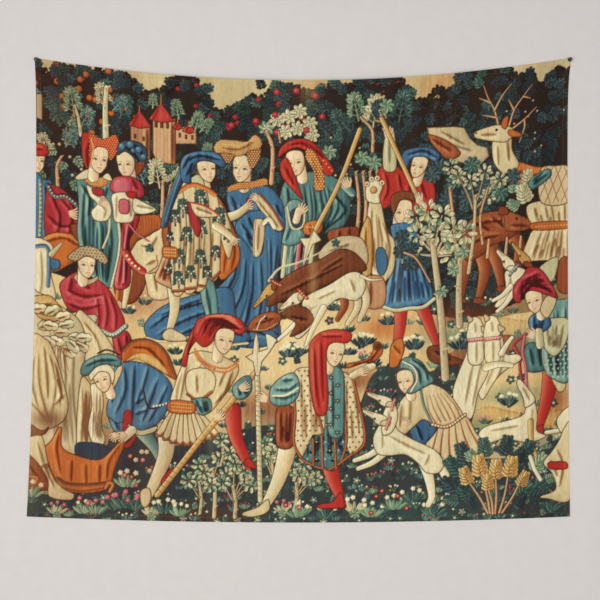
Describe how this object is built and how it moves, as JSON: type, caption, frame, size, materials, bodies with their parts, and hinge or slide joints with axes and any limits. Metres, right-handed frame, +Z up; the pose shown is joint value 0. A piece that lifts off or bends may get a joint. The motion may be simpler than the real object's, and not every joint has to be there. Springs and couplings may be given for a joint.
{
  "type": "tapestry wall hanging",
  "caption": "Wide hemmed cloth panel with a printed woodland hunting scene, hung flat on a wall by a push pin through each top corner.",
  "frame": {"origin": "on the wall's surface, half way between the two push pins", "axes": "+Z up, +X to the viewer's right along the wall, +Y into the wall; the printed face looks along -Y"},
  "size_m": [1.531, 0.023, 1.306],
  "materials": {
    "printed_cloth": "light woven polyester, matte, dye-printed on its face, pale on its back",
    "hem_thread": "twisted sewing thread, slight sheen",
    "black_plastic": "moulded, semi-gloss",
    "needle_steel": "bright drawn wire with a ground point"
  },
  "bodies": {
    "cloth_top": {"cloth_upper": "printed_cloth", "seam_top": "hem_thread", "seam_left_upper": "hem_thread", "seam_right_upper": "hem_thread"},
    "cloth_lower": {"cloth_drop": "printed_cloth", "seam_bottom": "hem_thread", "seam_left_drop": "hem_thread", "seam_right_drop": "hem_thread"},
    "push_pin_left": {"pin_head_left": "black_plastic", "pin_needle_left": "needle_steel"},
    "push_pin_right": {"pin_head_right": "black_plastic", "pin_needle_right": "needle_steel"}
  },
  "joints": [
    {"name": "drop_lift", "type": "hinge", "parent": "cloth_top", "child": "cloth_lower", "pos_m": [0, -0.0012, -0.13], "axis": [-1, 0, 0], "range_deg": [0, 90]},
    {"name": "pin_left_pull", "type": "slide", "parent": "cloth_top", "child": "push_pin_left", "axis": [0, -1, 0], "range_m": [0, 0.012]},
    {"name": "pin_right_pull", "type": "slide", "parent": "cloth_top", "child": "push_pin_right", "axis": [0, -1, 0], "range_m": [0, 0.012]}
  ]
}
